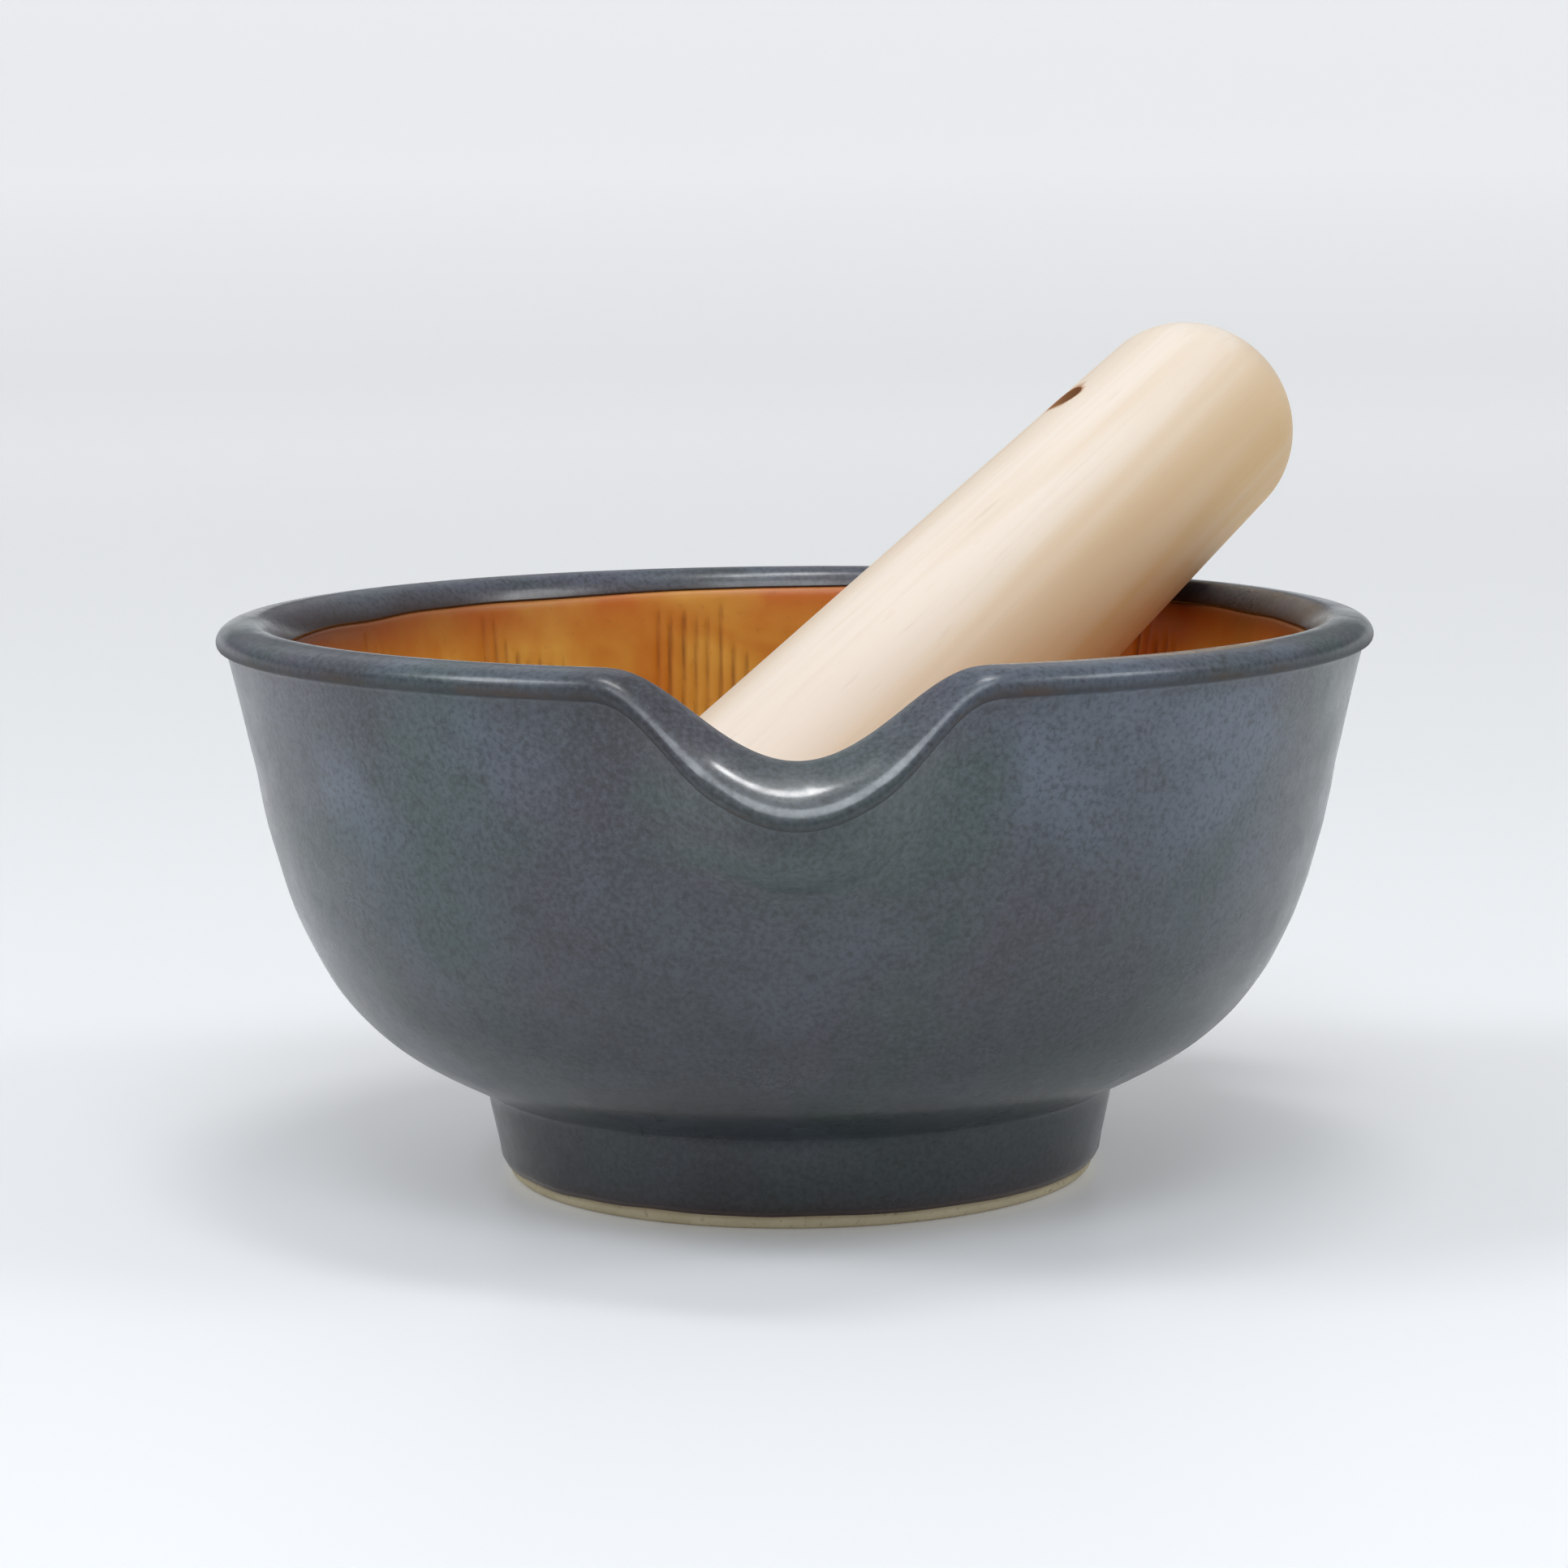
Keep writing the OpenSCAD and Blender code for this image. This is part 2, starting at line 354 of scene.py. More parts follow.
def make_dark_glaze():
    columns = columns_round(step=1.0, spout_step=0.45)
    outer = outside_at(columns, wall_step=1.0, lip_step=0.36)
    inside = inside_outline()
    rows = 18
    line = glaze_line(columns)
    down = np.linspace(0, 1, rows + 1)[1:]
    inner = np.stack([along(inside, line_at * down) for line_at in line])
    shown = np.concatenate([outer, inner], 1)
    # the hidden side sinks a little into the clay and needs only every fifth row
    hidden = np.stack([offset_left(one, np.full(len(one), GLAZE_T + DARK_SINK)) for one in shown])
    keep = np.unique(np.concatenate([np.arange(0, shown.shape[1], 5), [shown.shape[1] - 1]]))
    loop = np.concatenate([shown, hidden[:, keep][:, ::-1]], 1)
    a = columns[:, None]
    points = placed(loop[..., 0], loop[..., 1], a)
    # hand-thrown unevenness of the outside, under a fifth of a millimetre
    n_out = outer.shape[1]
    height = outer[..., 1]
    oval = OVAL_DEPTH * np.sin(np.radians(a) * 2 + 0.6)
    ring = oval + THROWING_RING_DEPTH * np.sin(height * THROWING_RING_PHASE_PER_MM)
    normal = points[:, :n_out, :2] / np.linalg.norm(points[:, :n_out, :2], axis=-1, keepdims=True)
    fade = smooth((height - 16) / 8) * smooth((62 - height) / 8)
    points[:, :n_out, :2] -= normal * (np.abs(ring) * fade)[..., None]
    # lip_edge marks the crease under the lip, where the glaze is roughened and painted in shade
    edge = np.zeros(loop.shape[:2])
    length = lengths(outer[0])
    lip_at = length[np.argmax(outer[0, :, 0])] - 0.9
    edge[:, :n_out] = np.exp(-(((length - lip_at) / 1.0) ** 2))
    foot_edge = np.zeros(loop.shape[:2])
    foot_edge[:, :n_out] = np.exp(-length / 0.9)
    line_edge = np.zeros(loop.shape[:2])
    distance = line[:, None] * (1 - down)
    # painted shade: the brown where the glazes meet is widened at the bowl's sides
    reach = 0.5 + 2.2 * side_shade_weight(a)
    line_edge[:, n_out:n_out + rows] = np.exp(-distance / reach)
    around = (a + 180) % 360 - 180
    facts = {
        "lip_edge": edge,
        "foot_edge": foot_edge,
        "glaze_edge": line_edge,
        "spout": spout_bell(around) * np.ones(loop.shape[1]),
    }
    return grid_mesh("dark_glaze_coat", points, True, facts)


def comb_depth(angle, below, radius):
    """Depth, 0 to 1, of the combed grooves at points this far below the glaze line."""
    depth = np.zeros(below.shape)
    rng = np.random.default_rng(21)
    half_width = (COMB_TEETH - 1) / 2 * TOOTH_PITCH
    for g in rng.permutation(COMB_STROKES):
        middle = FIRST_STROKE + g * 360 / COMB_STROKES + rng.uniform(-2.2, 2.2)
        slant = rng.uniform(-0.01, 0.05)
        starts = np.sort(rng.uniform(2.0, 8.5, COMB_TEETH))[::-1]
        starts += rng.uniform(-0.9, 0.9, COMB_TEETH)
        starts[rng.integers(COMB_TEETH)] = rng.uniform(0.6, 2.0)
        heavy = rng.uniform(0.5, 1.0, COMB_TEETH)
        wobble = rng.uniform(-0.16, 0.16, COMB_TEETH)
        turn = (angle - middle + 180) % 360 - 180
        x = radius * np.radians(turn) - slant * below
        # lower down, a later stroke wipes out the ones before it
        over = (np.abs(x) < half_width + 0.9) & (below > 14)
        depth = np.where(over, 0, depth)
        for k in range(COMB_TEETH):
            at = (k - (COMB_TEETH - 1) / 2) * TOOTH_PITCH + wobble[k]
            near = np.exp(-(((x - at) / GROOVE_HALF_W) ** 2))
            ramp = smooth((below - starts[k]) / 2.5) * heavy[k]
            depth = np.maximum(depth, near * ramp)
    return depth * smooth((radius - 5) / 8)


def make_amber_glaze():
    column_count = 970
    columns = np.linspace(-180, 180, column_count + 1)[:-1]
    inside = inside_outline()
    total = lengths(inside)[-1]
    rows = 86
    line = glaze_line(columns)[:, None]
    share = np.linspace(0, 1, rows + 1) ** 1.12
    length = line + (total - line) * share
    flat = along(inside, length.ravel()).reshape(len(columns), rows + 1, 2)
    a = columns[:, None]
    radius, height = flat[..., 0], flat[..., 1]
    comb = comb_depth(a, length - line, radius)
    ends = smooth((length - line) / 0.8)
    # grooves cut into the glaze: moved away from the bowl's hollow
    way = np.gradient(flat, axis=1)
    way /= np.linalg.norm(way, axis=-1, keepdims=True)
    outward = np.stack([-way[..., 1], way[..., 0]], -1)
    shown = flat + outward * (comb * GROOVE_DEPTH + (1 - ends) * 0.12)[..., None]
    hidden_rows = np.linspace(0, rows, 14).round().astype(int)
    hidden = (flat + outward * (GLAZE_T + AMBER_SINK))[:, hidden_rows]
    # the sweep runs from the axis out to the glaze line, and back to the axis on the shown side
    loop = np.concatenate([hidden[:, ::-1], shown], 1)
    points = placed(loop[..., 0], loop[..., 1], a)
    pad = np.zeros((len(columns), len(hidden_rows)))
    facts = {
        "comb": np.concatenate([pad, comb], 1),
        "from_line": np.concatenate([pad, length - line], 1),
        "side_shade": np.concatenate([pad, side_shade_weight(a) * np.ones_like(comb)], 1),
    }
    return grid_mesh("amber_glaze_coat", points, False, facts)


# ---------------------------------------------------------------- pestle
def pestle_frame():
    """The matrix, in mm, that puts the upright pestle, its grinding end at the origin, in place."""
    turn = Matrix.Rotation(math.radians(PESTLE_TURN), 4, "Z")
    tilt = Matrix.Rotation(math.radians(90 - LEAN), 4, "Y")
    head = Matrix.Rotation(math.radians(LEAN_HEADING), 4, "Z")
    return Matrix.Translation(Vector(HEAD_TIP)) @ head @ tilt @ turn


def pestle_outline():
    """(radius, distance from the grinding end): tapered, with rounded ends and soft shoulders."""
    steep = np.linspace(0, math.pi / 2, 26)[1:]
    rise = DOME_LEN * (1 - np.cos(steep))
    low = np.stack([np.sin(steep), rise], -1)
    high = np.stack([np.sin(steep), PESTLE_LEN - rise], -1)[::-1]
    middle = np.linspace(DOME_LEN, PESTLE_LEN - DOME_LEN, 62)[1:-1]
    body = np.stack([np.ones_like(middle), middle], -1)
    points = np.concatenate([low, body, high])
    taper = HEAD_R + (GRIP_R - HEAD_R) * points[:, 1] / PESTLE_LEN
    points[:, 0] *= taper - PESTLE_INSET
    return points


def make_pestle():
    outline = pestle_outline()
    columns = 144
    a = np.linspace(0, 2 * math.pi, columns + 1)[:-1][:, None]
    r, z = outline[None, :, 0], outline[None, :, 1]
    # hand-turned: flats and hollows of a few hundredths of a millimetre
    r = r - TURNING_DEPTH * (1 + np.sin(3 * a + z * 0.05)) * np.sin(math.pi * z / PESTLE_LEN)
    points = np.stack([r * np.cos(a), r * np.sin(a), z * np.ones_like(a)], -1)
    obj = grid_mesh("turned_pestle", points, False)
    hole = make_hole_cutter()
    cut = obj.modifiers.new("hole", "BOOLEAN")
    cut.operation = "DIFFERENCE"
    cut.solver = "EXACT"
    cut.object = hole
    bevel = obj.modifiers.new("edge", "BEVEL")
    bevel.limit_method = "ANGLE"
    bevel.angle_limit = math.radians(50)
    bevel.width = 0.25 * MM
    bevel.segments = 2
    applied(obj)
    bpy.data.objects.remove(hole)
    mesh = obj.data
    co = np.empty(len(mesh.vertices) * 3, np.float32)
    mesh.vertices.foreach_get("co", co)
    layer = mesh.attributes.new("wood_co", "FLOAT_VECTOR", "POINT")
    layer.data.foreach_set("vector", co)
    mesh.polygons.foreach_set("material_index", [0] * len(mesh.polygons))
    co = co.reshape(-1, 3)
    beside_hole = np.hypot(co[:, 1], co[:, 2] - (PESTLE_LEN - HOLE_FROM_END) * MM)
    in_hole = mesh.attributes.new("in_hole", "FLOAT", "POINT")
    in_hole.data.foreach_set("value", (beside_hole < (HOLE_R + 0.05) * MM).astype(np.float32))
    place = Matrix.Scale(MM, 4) @ pestle_frame() @ Matrix.Scale(1 / MM, 4)
    mesh.transform(place)
    mesh.update()
    return obj


def make_hole_cutter():
    """A long round cutter across the upright pestle, along X."""
    reach = 2 * GRIP_R
    steps = np.linspace(-reach, reach, 9)
    a = np.linspace(0, 2 * math.pi, 49)[:-1][:, None]
    x = steps[None, :] * np.ones_like(a)
    y = HOLE_R * np.cos(a) * np.ones_like(x)
    z = PESTLE_LEN - HOLE_FROM_END + HOLE_R * np.sin(a) * np.ones_like(x)
    return grid_mesh("hole_cutter", np.stack([x, y, z], -1), False)


def painted_shade_way():
    """The direction, across the upright pestle, that ends up facing right, down and forward: the side
    painted in shade.
    """
    out = pestle_frame().to_3x3().inverted() @ Vector((0.62, -0.35, -0.70))
    return Vector((out.x, out.y, 0)).normalized()


# Edges shorter than this, which a cut can leave behind, are closed up.
SLIVER = 0.003


def applied(obj):
    """obj with its modifiers worked into its mesh."""
    depsgraph = bpy.context.evaluated_depsgraph_get()
    mesh = bpy.data.meshes.new_from_object(obj.evaluated_get(depsgraph))
    obj.modifiers.clear()
    work = bmesh.new()
    work.from_mesh(mesh)
    bmesh.ops.dissolve_degenerate(work, dist=SLIVER * MM, edges=work.edges)
    bmesh.ops.recalc_face_normals(work, faces=work.faces)
    work.to_mesh(mesh)
    work.free()
    mesh.set_sharp_from_angle(angle=math.radians(35))
    obj.data = mesh


PAINTED_SHADE_WAY = painted_shade_way()


# ---------------------------------------------------------------- materials
class Nodes:
    """Short ways to build a material's node tree."""

    def __init__(self, name):
        self.material = bpy.data.materials.new(name)
        self.material.use_nodes = True
        self.tree = self.material.node_tree
        self.tree.nodes.clear()
        self.shader = self.add("ShaderNodeBsdfPrincipled")
        output = self.add("ShaderNodeOutputMaterial")
        self.tree.links.new(self.shader.outputs[0], output.inputs["Surface"])

    def add(self, kind, settings=None, **inputs):
        node = self.tree.nodes.new(kind)
        for key, value in (settings or {}).items():
            setattr(node, key, value)
        for key, value in inputs.items():
            self.put(node, key.replace("_", " "), value)
        return node

    def put(self, node, key, value):
        socket = node.inputs[key]
        if isinstance(value, bpy.types.NodeSocket):
            self.tree.links.new(value, socket)
        else:
            socket.default_value = value

    def attribute(self, name, output="Fac"):
        return self.add("ShaderNodeAttribute", {"attribute_name": name}).outputs[output]

    def object_co(self):
        return self.add("ShaderNodeTexCoord").outputs["Object"]

    def scaled(self, vector, factors):
        node = self.add("ShaderNodeMapping", Vector=vector)
        node.inputs["Scale"].default_value = factors
        return node.outputs[0]

    def noise(self, vector, scale, detail=4.0, rough=0.55, distort=0.0):
        node = self.add(
            "ShaderNodeTexNoise", Vector=vector, Scale=scale, Detail=detail, Roughness=rough,
            Distortion=distort,
        )
        return node.outputs["Fac"]

    def ramp(self, value, stops, easing="LINEAR"):
        node = self.add("ShaderNodeValToRGB", Fac=value)
        ramp = node.color_ramp
        ramp.interpolation = easing
        while len(ramp.elements) < len(stops):
            ramp.elements.new(0.5)
        for element, (at, colour) in zip(ramp.elements, stops):
            element.position = at
            element.color = colour if len(colour) == 4 else (*colour, 1)
        return node.outputs["Color"]

    def span(self, value, low, high, to_low=0.0, to_high=1.0):
        node = self.add("ShaderNodeMapRange", Value=value)
        node.inputs["From Min"].default_value = low
        node.inputs["From Max"].default_value = high
        node.inputs["To Min"].default_value = to_low
        node.inputs["To Max"].default_value = to_high
        return node.outputs["Result"]

    def math(self, kind, a, b=0.0):
        node = self.add("ShaderNodeMath", {"operation": kind})
        for socket, value in zip(node.inputs, (a, b)):
            if isinstance(value, bpy.types.NodeSocket):
                self.tree.links.new(value, socket)
            else:
                socket.default_value = value
        return node.outputs[0]

    def mix(self, factor, a, b, blend="MIX"):
        node = self.add("ShaderNodeMix", {"data_type": "RGBA", "blend_type": blend})
        for key, value in (("Factor", factor), ("A", a), ("B", b)):
            socket = next(s for s in node.inputs if s.name == key and s.enabled)
            if isinstance(value, bpy.types.NodeSocket):
                self.tree.links.new(value, socket)
            else:
                socket.default_value = value if key == "Factor" else (*value[:3], 1)
        return next(s for s in node.outputs if s.enabled)

    def bump(self, height, strength, distance, normal=None):
        node = self.add("ShaderNodeBump", Height=height, Strength=strength, Distance=distance)
        if normal is not None:
            self.tree.links.new(normal, node.inputs["Normal"])
        return node.outputs[0]

    def finish(self, **inputs):
        for key, value in inputs.items():
            self.put(self.shader, key.replace("_", " "), value)
        return self.material


def dark_glaze():
    n = Nodes("dark_glaze")
    co = n.object_co()
    clouds = n.noise(co, 34, 3, 0.5, 0.3)
    drift = n.noise(n.scaled(co, (1.0, 1.0, 1.3)), 22, 2, 0.5, 0.2)
    green = n.noise(co, 27, 3, 0.5, 0.4)
    base = n.ramp(
        clouds,
        [(0.34, (0.036, 0.041, 0.050)), (0.5, (0.062, 0.076, 0.097)), (0.66, (0.092, 0.118, 0.158))],
    )
    violet = n.mix(n.span(drift, 0.44, 0.60, 0, 0.7), base, (0.058, 0.050, 0.072))
    mossy = n.mix(n.span(green, 0.50, 0.63, 0, 0.7), violet, (0.034, 0.070, 0.062))
    speckle = n.noise(co, 1500, 2, 0.6)
    pepper = n.noise(co, 560, 2, 0.5)
    dark = n.mix(n.span(speckle, 0.48, 0.70, 0, 0.50), mossy, (0.004, 0.005, 0.006))
    light = n.mix(n.span(speckle, 0.50, 0.30, 0, 0.30), dark, (0.12, 0.14, 0.17))
    spots = n.mix(n.span(pepper, 0.58, 0.74, 0, 0.36), light, (0.006, 0.006, 0.007))
    height = n.add("ShaderNodeSeparateXYZ", Vector=co).outputs["Z"]
    # painted shade: the glaze is painted darker towards the bottom of the belly and foot, which face
    # the shaded floor
    low = n.mix(n.span(height, 0.062, 0.020, 0, 0.58), spots, (0.007, 0.009, 0.009))
    broken = n.span(n.noise(co, 75, 4, 0.65), 0.50, 0.62, 0.0, 1.0)
    # painted shade, partly darker pooled glaze: the crease under the lip is painted dark; the same
    # mask roughens the glaze there and takes off its coat
    dull_and_shade = n.attribute("lip_edge")
    shaded = n.mix(n.math("MULTIPLY", dull_and_shade, 0.7), low, (0.016, 0.017, 0.018))
    lip = n.math("MULTIPLY", dull_and_shade, broken)
    worn = n.mix(n.math("MULTIPLY", lip, 0.7), shaded, (0.060, 0.030, 0.016))
    foot = n.mix(n.attribute("foot_edge"), worn, (0.040, 0.013, 0.010))
    # the glazes' own brown where they meet, widened at the bowl's sides by painted shade
    line = n.mix(n.attribute("glaze_edge"), foot, (0.032, 0.012, 0.005))
    turning = n.noise(n.scaled(co, (0.03, 0.03, 1.0)), 900, 3, 0.6)
    # the glaze lies thicker and glossier on the spout than on the wall
    pooled = n.math("MULTIPLY", n.attribute("spout"), n.span(height, 0.055, 0.063, 0.0, 1.0))
    crown = n.span(height, 0.0722, 0.0730, 0.0, 0.6)
    gloss = n.math("MAXIMUM", n.span(pooled, 0.05, 0.5, 0.2, 1.0), crown)
    patchy = n.math("MULTIPLY", gloss, n.span(n.noise(co, 420, 3, 0.6), 0.36, 0.56, 0.45, 1.0))
    coat = n.math("MULTIPLY", patchy, n.math("SUBTRACT", 1.0, dull_and_shade))
    satin = n.span(n.noise(co, 90, 3, 0.6), 0.3, 0.7, 0.24, 0.36)
    roughness = n.math("ADD", satin, n.math("MULTIPLY", dull_and_shade, 0.35))
    pits = n.bump(n.noise(co, 1000, 2, 0.5), 0.08, 0.00025)
    lines = n.bump(turning, 0.10, 0.00025, pits)
    rolls = n.bump(n.noise(co, 70, 2, 0.5), 0.22, 0.0006, lines)
    return n.finish(
        Base_Color=line, Roughness=roughness, Normal=rolls, IOR=1.52, Coat_Weight=coat,
        Coat_Roughness=0.13,
    )


def amber_glaze():
    n = Nodes("amber_glaze")
    co = n.object_co()
    patches = n.noise(co, 55, 3, 0.55, 0.4)
    runs = n.noise(n.scaled(co, (1, 1, 0.28)), 90, 3, 0.6)
    base = n.ramp(
        patches,
        [(0.34, (0.56, 0.19, 0.018)), (0.48, (0.67, 0.31, 0.042)), (0.64, (0.75, 0.41, 0.068))],
    )
    streaked = n.mix(n.span(runs, 0.52, 0.70, 0, 0.6), base, (0.60, 0.16, 0.008))
    # painted shade: the amber is painted darker and redder at the bowl's left and right sides
    side = n.math("MULTIPLY", n.attribute("side_shade"), 0.55)
    amber_side_shade = n.mix(side, streaked, (0.46, 0.135, 0.014))
    below = n.attribute("from_line")
    near_line = n.span(below, 1.5, 7.0, 0.85, 0.0)
    wavy = n.math("MULTIPLY", near_line, n.span(n.noise(co, 70, 2, 0.5), 0.38, 0.60, 0.1, 1.0))
    banded = n.mix(wavy, amber_side_shade, (0.56, 0.125, 0.008))
    pale = n.span(below, 0.0, 1.2, 0.55, 0.0)
    pink_line = n.mix(pale, banded, (0.55, 0.245, 0.11))
    # the brown below the glaze line, painted darker at the bowl's sides as shade
    side_shade = n.math("MULTIPLY", n.span(below, 0.5, 7.0, 0.97, 0.0), n.attribute("side_shade"))
    rim_line = n.mix(side_shade, pink_line, (0.13, 0.036, 0.010))
    uneven = n.span(n.noise(n.scaled(co, (1, 1, 0.5)), 300, 2, 0.6), 0.3, 0.6, 0.45, 1.0)
    comb = n.math("MULTIPLY", n.attribute("comb"), uneven)
    cut = n.mix(n.span(comb, 0.12, 0.85, 0, 0.75), rim_line, (0.24, 0.062, 0.010))
    grit = n.noise(co, 700, 2, 0.6)
    gritty = n.mix(n.span(grit, 0.62, 0.80, 0, 0.3), cut, (0.34, 0.10, 0.015))
    roughness = n.span(patches, 0.3, 0.7, 0.28, 0.42)
    pits = n.bump(n.noise(co, 800, 3, 0.6), 0.12, 0.0003)
    return n.finish(Base_Color=gritty, Roughness=roughness, Normal=pits, IOR=1.42)


def bare_clay():
    n = Nodes("bare_stoneware")
    co = n.object_co()
    base = n.ramp(
        n.noise(co, 180, 4, 0.6), [(0.3, (0.53, 0.465, 0.30)), (0.7, (0.65, 0.58, 0.40))]
    )
    height = n.add("ShaderNodeSeparateXYZ", Vector=co).outputs["Z"]
    seat = n.span(height, 0.0, 0.0004, 0.75, 0.0)
    toasted = n.mix(seat, base, (0.20, 0.12, 0.05))
    flash = n.span(height, 0.0012, 0.0020, 0.0, 0.55)
    warmed = n.mix(flash, toasted, (0.34, 0.20, 0.10))
    grog = n.mix(n.span(n.noise(co, 1400, 2, 0.5), 0.60, 0.72, 0, 0.6), warmed, (0.30, 0.22, 0.13))
    pits = n.bump(n.noise(co, 1500, 4, 0.7), 0.35, 0.0004)
    roughness = n.span(n.noise(co, 500), 0.3, 0.7, 0.78, 0.92)
    return n.finish(Base_Color=grog, Roughness=roughness, Normal=pits)


def pale_wood():
    n = Nodes("pale_wood")
    co = n.attribute("wood_co", "Vector")
    long_grain = n.scaled(co, (1, 1, 0.045))
    rings = n.noise(long_grain, 95, 3, 0.55, 0.5)
    fibres = n.noise(n.scaled(co, (1, 1, 0.02)), 950, 4, 0.65)
    broad = n.noise(n.scaled(co, (1, 1, 0.12)), 42, 2, 0.5, 0.3)
    base = n.ramp(
        rings,
        [(0.30, (0.79, 0.68, 0.57)), (0.5, (0.82, 0.715, 0.61)), (0.70, (0.76, 0.63, 0.50))],
    )
    honey = n.mix(n.span(broad, 0.50, 0.66, 0, 0.55), base, (0.72, 0.56, 0.38))
    # painted shade: the side facing right, down and forward, away from the lights, is painted darker
    # and warmer
    side = n.add("ShaderNodeVectorMath", {"operation": "DOT_PRODUCT"})
    n.put(side, 0, co)
    side.inputs[1].default_value = PAINTED_SHADE_WAY
    one_side = n.span(side.outputs["Value"], -0.002, 0.016, 0, 1.0)
    ragged = n.span(rings, 0.4, 0.62, -0.12, 0.12)
    streak = n.math("ADD", one_side, ragged)
    wood_side_shade = n.mix(n.math("MAXIMUM", streak, 0.0), honey, (0.66, 0.43, 0.19))
    fine = n.mix(n.span(fibres, 0.52, 0.78, 0, 0.22), wood_side_shade, (0.62, 0.47, 0.33))
    flecks = n.noise(n.scaled(co, (1, 1, 0.10)), 1300, 2, 0.5)
    flecked = n.mix(n.span(flecks, 0.66, 0.80, 0, 0.22), fine, (0.56, 0.41, 0.28))
    # the hole's wall is painted darker brown: partly the drilled wood's own colour, partly painted
    # shade inside the hole
    hole_wall = n.mix(rings, (0.30, 0.12, 0.045), (0.55, 0.28, 0.12))
    drilled = n.mix(n.attribute("in_hole"), flecked, hole_wall)
    roughness = n.span(fibres, 0.3, 0.7, 0.50, 0.62)
    pores = n.bump(fibres, 0.10, 0.0002)
    return n.finish(
        Base_Color=drilled, Roughness=roughness, Normal=pores, IOR=1.45, Sheen_Weight=0.08,
        Subsurface_Weight=0.06, Subsurface_Radius=(0.002, 0.0012, 0.0008), Subsurface_Scale=1.0,
    )


def studio_white_glowing():
    n = Nodes("studio_white_glowing")
    height = n.add("ShaderNodeSeparateXYZ", Vector=n.object_co()).outputs["Z"]
    away = n.add("ShaderNodeVectorMath", {"operation": "LENGTH"})
    n.put(away, 0, n.object_co())
    # painted light: the sweep glows though it is no lamp, lifting the shadows round the bowl; it
    # glows more further out and low on the wall, and less high up
    floor_glow = n.span(away.outputs["Value"], 0.4, 1.6, 0.12, 0.25)
    wall_glow = n.span(height, 0.03, 0.14, 0.0, 0.14)
    falling = n.span(height, 0.28, 0.40, 0.0, 0.38)
    glow = n.math("SUBTRACT", n.math("ADD", floor_glow, wall_glow), falling)
    return n.finish(
        Base_Color=(0.81, 0.815, 0.825, 1), Roughness=0.34, IOR=1.4,
        Emission_Color=(0.97, 0.985, 1.0, 1), Emission_Strength=glow,
    )


# ---------------------------------------------------------------- studio
def make_backdrop():
    """A round floor that curves up into a wall, seen as one pale sweep from every side."""
    floor_r, wall_r, wall_h = 1300, 2600, 420
    curve = bezier((floor_r, 0), (1900, 0), (wall_r, 60), (wall_r, wall_h), 32)
    outline = joined([(1, 0), (200, 0), (floor_r, 0)], curve)
    a = np.radians(np.linspace(-180, 180, 97)[:-1])[:, None]
    r, z = outline[None, :, 0], outline[None, :, 1]
    points = np.stack([r * np.sin(a), -r * np.cos(a), z * np.ones_like(a)], -1)
    m, n = points.shape[:2]
    j, i = np.meshgrid(np.arange(m), np.arange(n - 1), indexing="ij")
    k = (j + 1) % m
    faces = np.stack([j * n + i, k * n + i, k * n + i + 1, j * n + i + 1], -1).reshape(-1, 4).tolist()
    faces.append([c * n for c in range(m - 1, -1, -1)])
    mesh = bpy.data.meshes.new("backdrop")
    mesh.from_pydata((points.reshape(-1, 3) * MM).tolist(), [], faces)
    mesh.polygons.foreach_set("use_smooth", [True] * len(mesh.polygons))
    obj = bpy.data.objects.new("backdrop", mesh)
    bpy.context.scene.collection.objects.link(obj)
    obj.data.materials.append(studio_white_glowing())
    return obj


def area_light(name, place, target, size, power, colour=(1, 1, 1)):
    """A softbox that lights the object and shows in its gloss, but not in the picture itself."""
    light = bpy.data.lights.new(name, "AREA")
    light.shape = "RECTANGLE"
    light.size, light.size_y = size
    light.energy = power
    light.color = colour
    obj = bpy.data.objects.new(name, light)
    obj.visible_camera = False
    obj.location = place
    obj.rotation_euler = (Vector(target) - Vector(place)).to_track_quat("-Z", "Y").to_euler()
    bpy.context.scene.collection.objects.link(obj)
    return obj


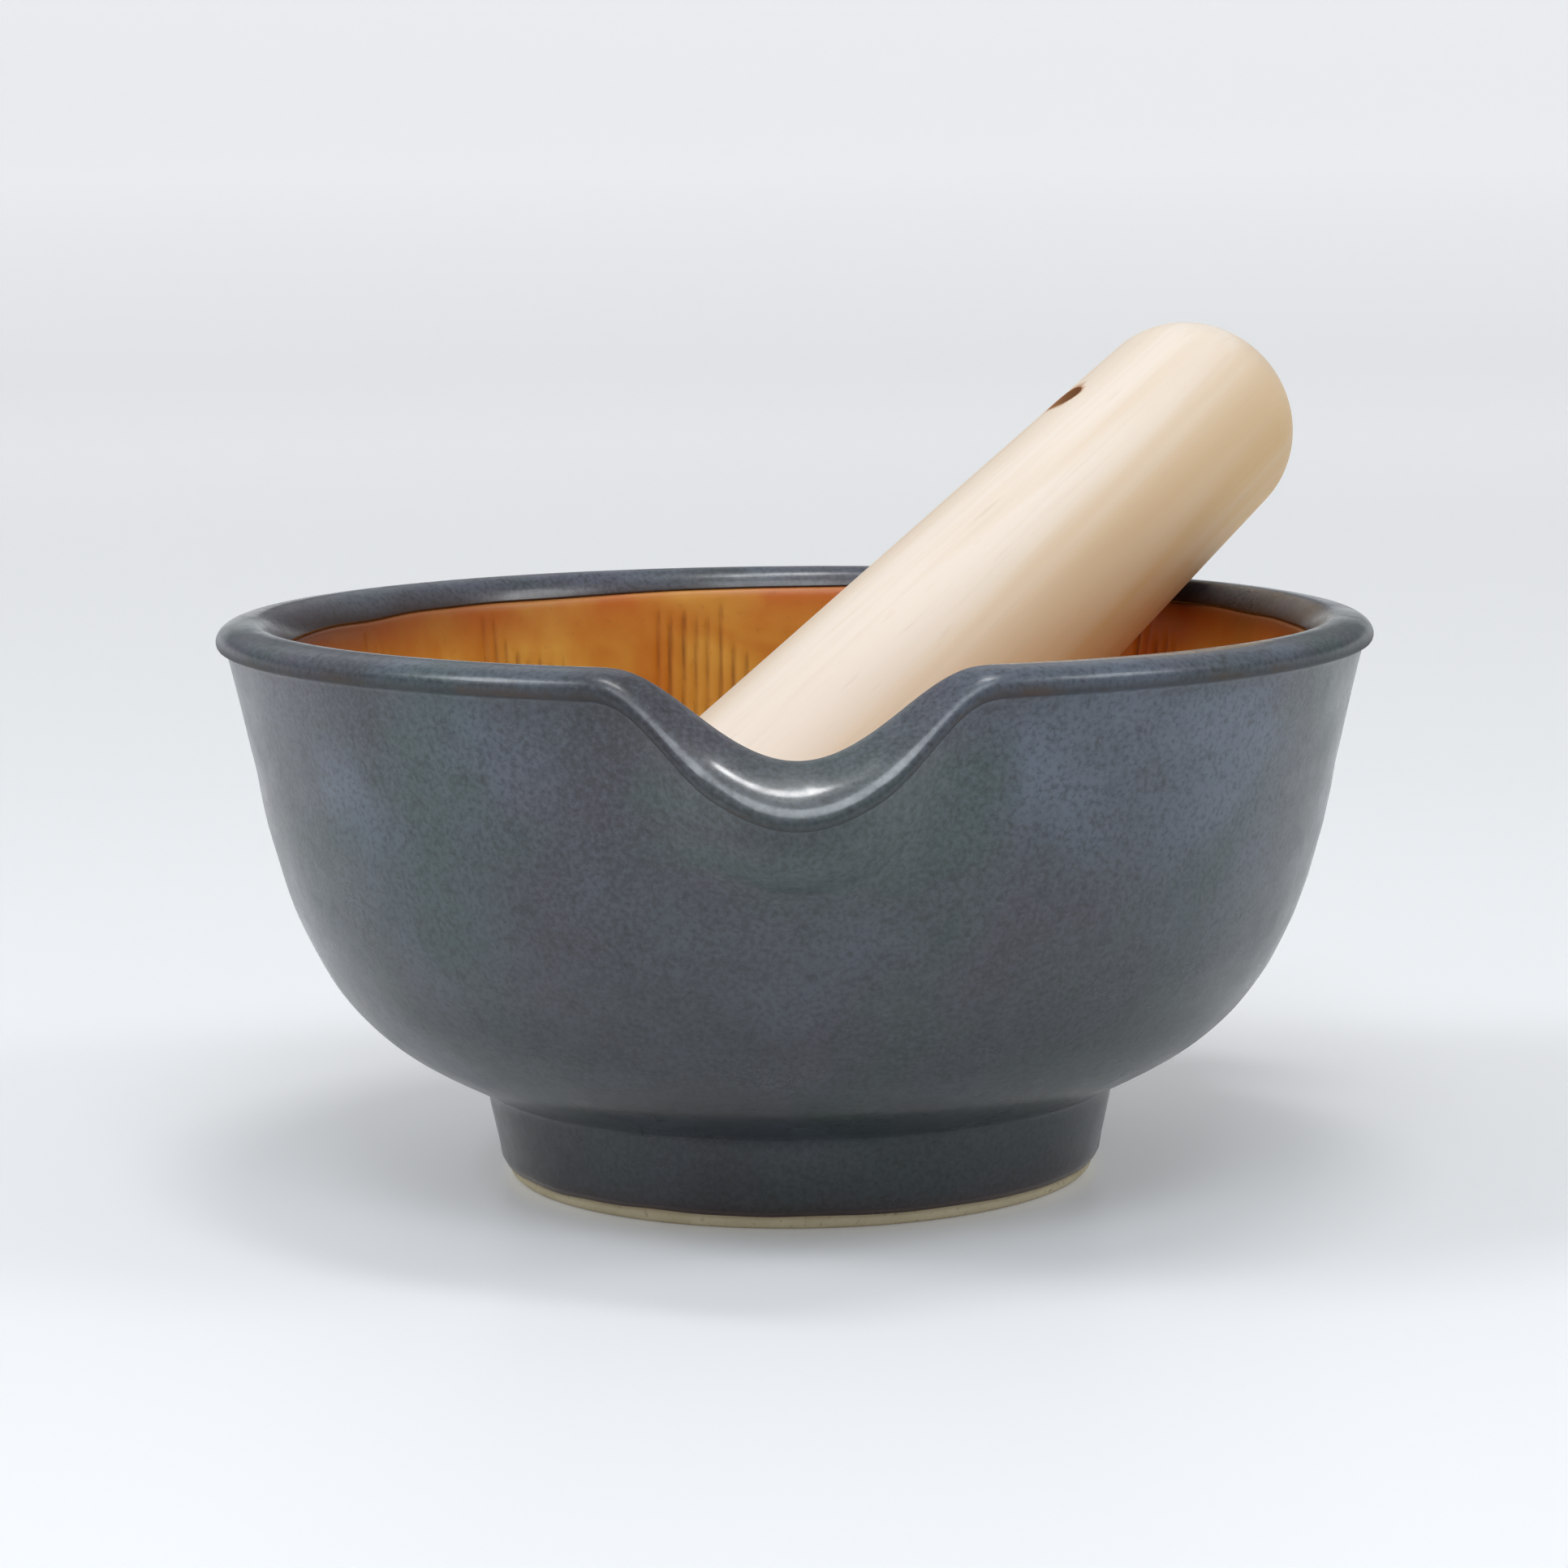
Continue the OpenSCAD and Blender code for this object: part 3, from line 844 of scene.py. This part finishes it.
def make_lights():
    middle = (0, 0, 0.05)
    area_light("overhead", (0.07, -0.05, 1.5), middle, (0.18, 0.42), 4.1)
    area_light("front", (0.05, -0.80, 1.25), (0, -0.07, 0.08), (0.72, 0.52), 5.5, (0.88, 0.94, 1))
    area_light("left", (-1.0, -0.25, 1.15), middle, (0.50, 0.50), 6.6, (0.93, 0.97, 1))
    area_light("right", (1.0, -0.25, 1.0), middle, (0.40, 0.40), 3.3, (0.95, 0.98, 1))
    world = bpy.data.worlds.new("studio")
    bpy.context.scene.world = world
    world.use_nodes = True
    tree = world.node_tree
    background = tree.nodes["Background"]
    background.inputs["Color"].default_value = (0.965, 0.98, 1.0, 1)
    # the ceiling is brighter on the left and darkens towards the horizon
    place = tree.nodes.new("ShaderNodeTexCoord")
    split = tree.nodes.new("ShaderNodeSeparateXYZ")
    tree.links.new(place.outputs["Generated"], split.inputs[0])
    across = tree.nodes.new("ShaderNodeMapRange")
    upward = tree.nodes.new("ShaderNodeMapRange")
    spans = (
        (across, "X", (-1, 1, 0.54, 0.40)),
        (upward, "Z", (0.16, 0.45, 0.2, 1.0)),
    )
    for node, axis, limits in spans:
        tree.links.new(split.outputs[axis], node.inputs["Value"])
        for key, value in zip(("From Min", "From Max", "To Min", "To Max"), limits):
            node.inputs[key].default_value = value
    strength = tree.nodes.new("ShaderNodeMath")
    strength.operation = "MULTIPLY"
    tree.links.new(across.outputs["Result"], strength.inputs[0])
    tree.links.new(upward.outputs["Result"], strength.inputs[1])
    tree.links.new(strength.outputs["Value"], background.inputs["Strength"])


# The camera stands in front of the spout, a little above the rim, and looks slightly down.
CAMERA_MM = (-1.6, -565.3, 127.6)
CAMERA_DOWN = 7.757
CAMERA_ROLL = -0.71
CAMERA_LENS = 100.0
CAMERA_SENSOR = 36.0


def make_camera():
    data = bpy.data.cameras.new("camera")
    data.lens = CAMERA_LENS
    data.sensor_width = CAMERA_SENSOR
    data.clip_start, data.clip_end = 0.02, 20
    obj = bpy.data.objects.new("camera", data)
    bpy.context.scene.collection.objects.link(obj)
    down, roll = math.radians(CAMERA_DOWN), math.radians(CAMERA_ROLL)
    look = Matrix.Rotation(math.pi / 2 - down, 4, "X") @ Matrix.Rotation(roll, 4, "Z")
    obj.matrix_world = Matrix.Translation(Vector(CAMERA_MM) * MM) @ look
    bpy.context.scene.camera = obj


# ---------------------------------------------------------------- assembly
def dress(piece, material, body, node):
    piece.data.materials.clear()
    piece.data.materials.append(material)
    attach(piece, body)
    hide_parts(node)


dress(make_clay(), bare_clay(), "mortar", "stoneware_body")
dress(make_dark_glaze(), dark_glaze(), "mortar", "outer_glaze")
dress(make_amber_glaze(), amber_glaze(), "mortar", "inner_glaze")
dress(make_pestle(), pale_wood(), "wooden_pestle", "pestle")

make_backdrop()
make_lights()
make_camera()
bpy.context.scene.view_settings.view_transform = "Standard"
